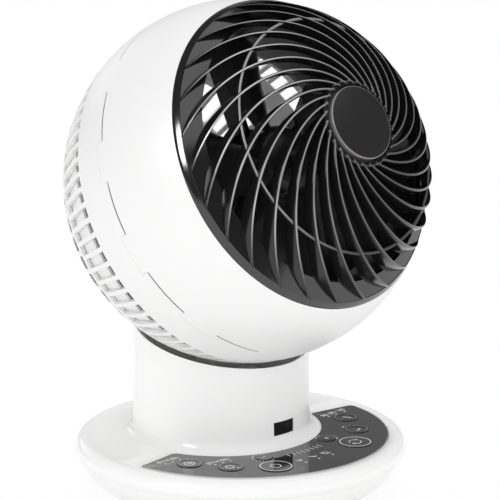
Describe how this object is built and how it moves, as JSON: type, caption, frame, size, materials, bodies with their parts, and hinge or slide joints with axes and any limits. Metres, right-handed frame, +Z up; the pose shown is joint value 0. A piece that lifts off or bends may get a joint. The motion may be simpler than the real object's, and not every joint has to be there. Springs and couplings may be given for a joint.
{
  "type": "air circulator fan",
  "caption": "Ball-shaped desk air circulator: swept spiral front grille, slotted rear vent, tilting and side-swinging head on a short column, round base with a crescent touch panel.",
  "frame": {"origin": "on the floor, straight below the centre of the ball-shaped head", "axes": "+Z up, -Y the way the air leaves and the control panel faces, +X to the right seen from the front"},
  "size_m": [0.21, 0.2115, 0.29],
  "materials": {
    "white_shell": "high-gloss moulded white",
    "grille_black": "gloss black moulding",
    "hub_black": "satin black disc with a bright edge",
    "inner_black": "black moulding",
    "impeller_black": "black moulding",
    "steel": "plated steel",
    "motor_can": "zinc-plated sheet",
    "bronze": "sintered bronze",
    "rotor_iron": "bare laminations",
    "yoke_plastic": "dark glass-filled moulding",
    "gear_plastic": "acetal",
    "foot_rubber": "soft matt",
    "ballast_steel": "stamped weight",
    "panel_grey": "printed gloss overlay",
    "button_grey": "gloss cap",
    "board_green": "circuit board",
    "switch_black": "moulded",
    "led_clear": "clear lamp",
    "window_black": "dark clear window"
  },
  "bodies": {
    "base": {"base_top_cover": "white_shell", "base_bottom_cover": "white_shell", "base_screws": "steel", "rubber_feet": "foot_rubber", "ballast_plate": "ballast_steel", "control_panel": "panel_grey", "control_board": "board_green", "board_screws": "steel", "tact_switches": "switch_black", "indicator_leds": "led_clear", "receiver_window": "window_black", "receiver": "switch_black", "power_board": "board_green", "power_inlet": "switch_black", "swing_deck": "yoke_plastic", "swing_motor": "motor_can", "deck_screws": "steel", "thrust_washer": "gear_plastic"},
    "neck": {"neck_yoke": "yoke_plastic", "neck_retainer": "steel", "tilt_pin": "steel", "tilt_drive_shaft": "steel", "swing_gear": "gear_plastic"},
    "swing_drive": {"swing_pinion": "gear_plastic", "swing_shaft": "steel"},
    "head": {"front_shell": "white_shell", "rear_shell": "white_shell", "front_grille": "grille_black", "hub_cap": "hub_black", "air_duct": "inner_black", "flange_screws": "steel", "motor_housing": "motor_can", "motor_end_cap": "motor_can", "motor_bearings": "bronze", "tilt_motor": "motor_can", "tilt_bushes": "bronze"},
    "fan": {"impeller": "impeller_black", "impeller_nut": "inner_black", "motor_shaft": "steel", "motor_rotor": "rotor_iron"},
    "on_timer_button": {"on_timer_button": "button_grey"},
    "off_timer_button": {"off_timer_button": "button_grey"},
    "power_button": {"power_button": "button_grey"},
    "speed_minus_button": {"speed_minus_button": "button_grey"},
    "speed_plus_button": {"speed_plus_button": "button_grey"},
    "mode_button": {"mode_button": "button_grey"},
    "tilt_swing_button": {"tilt_swing_button": "button_grey"},
    "side_swing_button": {"side_swing_button": "button_grey"}
  },
  "joints": [
    {"name": "side_swing", "type": "hinge", "parent": "base", "child": "neck", "pos_m": [0, 0, 0.06], "axis": [0, 0, 1], "range_deg": [-60, 60]},
    {"name": "tilt", "type": "hinge", "parent": "neck", "child": "head", "pos_m": [0, 0, 0.185], "axis": [-1, 0, 0], "range_deg": [-27, 63]},
    {"name": "fan_spin", "type": "hinge", "parent": "head", "child": "fan", "pos_m": [0, 0, 0.185], "axis": [0, -0.891, 0.454], "continuous": true},
    {"name": "swing_drive_turn", "type": "hinge", "parent": "base", "child": "swing_drive", "pos_m": [0, 0.02875, 0.06], "axis": [0, 0, 1], "range_deg": [-220, 220]},
    {"name": "on_timer_button_press", "type": "slide", "parent": "base", "child": "on_timer_button", "axis": [0, 0, -1], "range_m": [0, 0.0006], "stiffness_N_per_m": 400, "springref_m": -0.001},
    {"name": "off_timer_button_press", "type": "slide", "parent": "base", "child": "off_timer_button", "axis": [0, 0, -1], "range_m": [0, 0.0006], "stiffness_N_per_m": 400, "springref_m": -0.001},
    {"name": "power_button_press", "type": "slide", "parent": "base", "child": "power_button", "axis": [0, 0, -1], "range_m": [0, 0.0006], "stiffness_N_per_m": 400, "springref_m": -0.001},
    {"name": "speed_minus_button_press", "type": "slide", "parent": "base", "child": "speed_minus_button", "axis": [0, 0, -1], "range_m": [0, 0.0006], "stiffness_N_per_m": 400, "springref_m": -0.001},
    {"name": "speed_plus_button_press", "type": "slide", "parent": "base", "child": "speed_plus_button", "axis": [0, 0, -1], "range_m": [0, 0.0006], "stiffness_N_per_m": 400, "springref_m": -0.001},
    {"name": "mode_button_press", "type": "slide", "parent": "base", "child": "mode_button", "axis": [0, 0, -1], "range_m": [0, 0.0006], "stiffness_N_per_m": 400, "springref_m": -0.001},
    {"name": "tilt_swing_button_press", "type": "slide", "parent": "base", "child": "tilt_swing_button", "axis": [0, 0, -1], "range_m": [0, 0.0006], "stiffness_N_per_m": 400, "springref_m": -0.001},
    {"name": "side_swing_button_press", "type": "slide", "parent": "base", "child": "side_swing_button", "axis": [0, 0, -1], "range_m": [0, 0.0006], "stiffness_N_per_m": 400, "springref_m": -0.001}
  ],
  "couplings": [
    {"joint": "swing_drive_turn", "follows": "side_swing", "ratio": -3.6}
  ]
}
